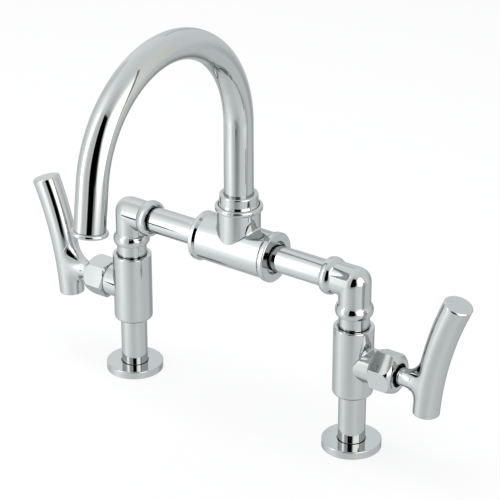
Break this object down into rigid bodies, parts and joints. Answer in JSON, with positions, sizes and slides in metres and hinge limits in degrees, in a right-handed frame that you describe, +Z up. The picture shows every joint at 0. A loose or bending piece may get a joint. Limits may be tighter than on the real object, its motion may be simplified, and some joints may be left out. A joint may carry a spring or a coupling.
{
  "type": "bridge bathroom faucet",
  "caption": "Deck standing bridge faucet with lever valves on two legs, a bridge pipe with a tee, and a swivelling gooseneck spout with an aerator.",
  "frame": {"origin": "on the deck surface, midway between the axes of the two legs", "axes": "+X along the bridge towards the cold side, -Y towards the basin and the spout's outlet at rest, +Z up out of the deck"},
  "size_m": [0.3906, 0.2005, 0.3211],
  "materials": {
    "chrome": "polished chrome plate",
    "lever_chrome": "polished chrome plate on the levers",
    "rubber": "black moulded rubber",
    "brass": "turned brass",
    "ceramic": "lapped ceramic",
    "plastic": "dark moulded plastic",
    "steel": "plain steel"
  },
  "bodies": {
    "faucet": {"hot_deck_flange": "chrome", "hot_deck_gasket": "rubber", "hot_riser": "chrome", "hot_riser_oring": "rubber", "hot_valve_body": "chrome", "hot_seat_seal": "rubber", "hot_fixed_disc": "ceramic", "hot_cartridge": "brass", "hot_stem_oring": "rubber", "hot_bonnet_nut": "chrome", "hot_elbow": "chrome", "hot_elbow_oring": "rubber", "hot_bridge_pipe": "chrome", "hot_ferrule_oring": "rubber", "hot_ferrule": "chrome", "cold_deck_flange": "chrome", "cold_deck_gasket": "rubber", "cold_riser": "chrome", "cold_riser_oring": "rubber", "cold_valve_body": "chrome", "cold_seat_seal": "rubber", "cold_fixed_disc": "ceramic", "cold_cartridge": "brass", "cold_stem_oring": "rubber", "cold_bonnet_nut": "chrome", "cold_elbow": "chrome", "cold_elbow_oring": "rubber", "cold_bridge_pipe": "chrome", "cold_ferrule_oring": "rubber", "cold_ferrule": "chrome", "tee": "chrome", "lower_glide_ring": "plastic", "upper_glide_ring": "plastic", "spout_collar": "chrome"},
    "hot_lever": {"hot_turning_disc": "ceramic", "hot_stem": "brass", "hot_handle": "lever_chrome", "hot_grub_screw": "steel"},
    "cold_lever": {"cold_turning_disc": "ceramic", "cold_stem": "brass", "cold_handle": "lever_chrome", "cold_grub_screw": "steel"},
    "spout": {"swivel_bush": "brass", "swivel_orings": "rubber", "spout_tube": "chrome", "aerator_housing": "chrome", "aerator_washer": "rubber", "aerator_insert": "plastic"}
  },
  "joints": [
    {"name": "hot_handle_turn", "type": "hinge", "parent": "faucet", "child": "hot_lever", "pos_m": [-0.1016, 0, 0.0706], "axis": [1, 0, 0], "range_deg": [0, 90]},
    {"name": "cold_handle_turn", "type": "hinge", "parent": "faucet", "child": "cold_lever", "pos_m": [0.1016, 0, 0.0706], "axis": [1, 0, 0], "range_deg": [0, 90]},
    {"name": "spout_swivel", "type": "hinge", "parent": "faucet", "child": "spout", "pos_m": [0, 0, 0.16], "axis": [0, 0, 1], "continuous": true}
  ]
}
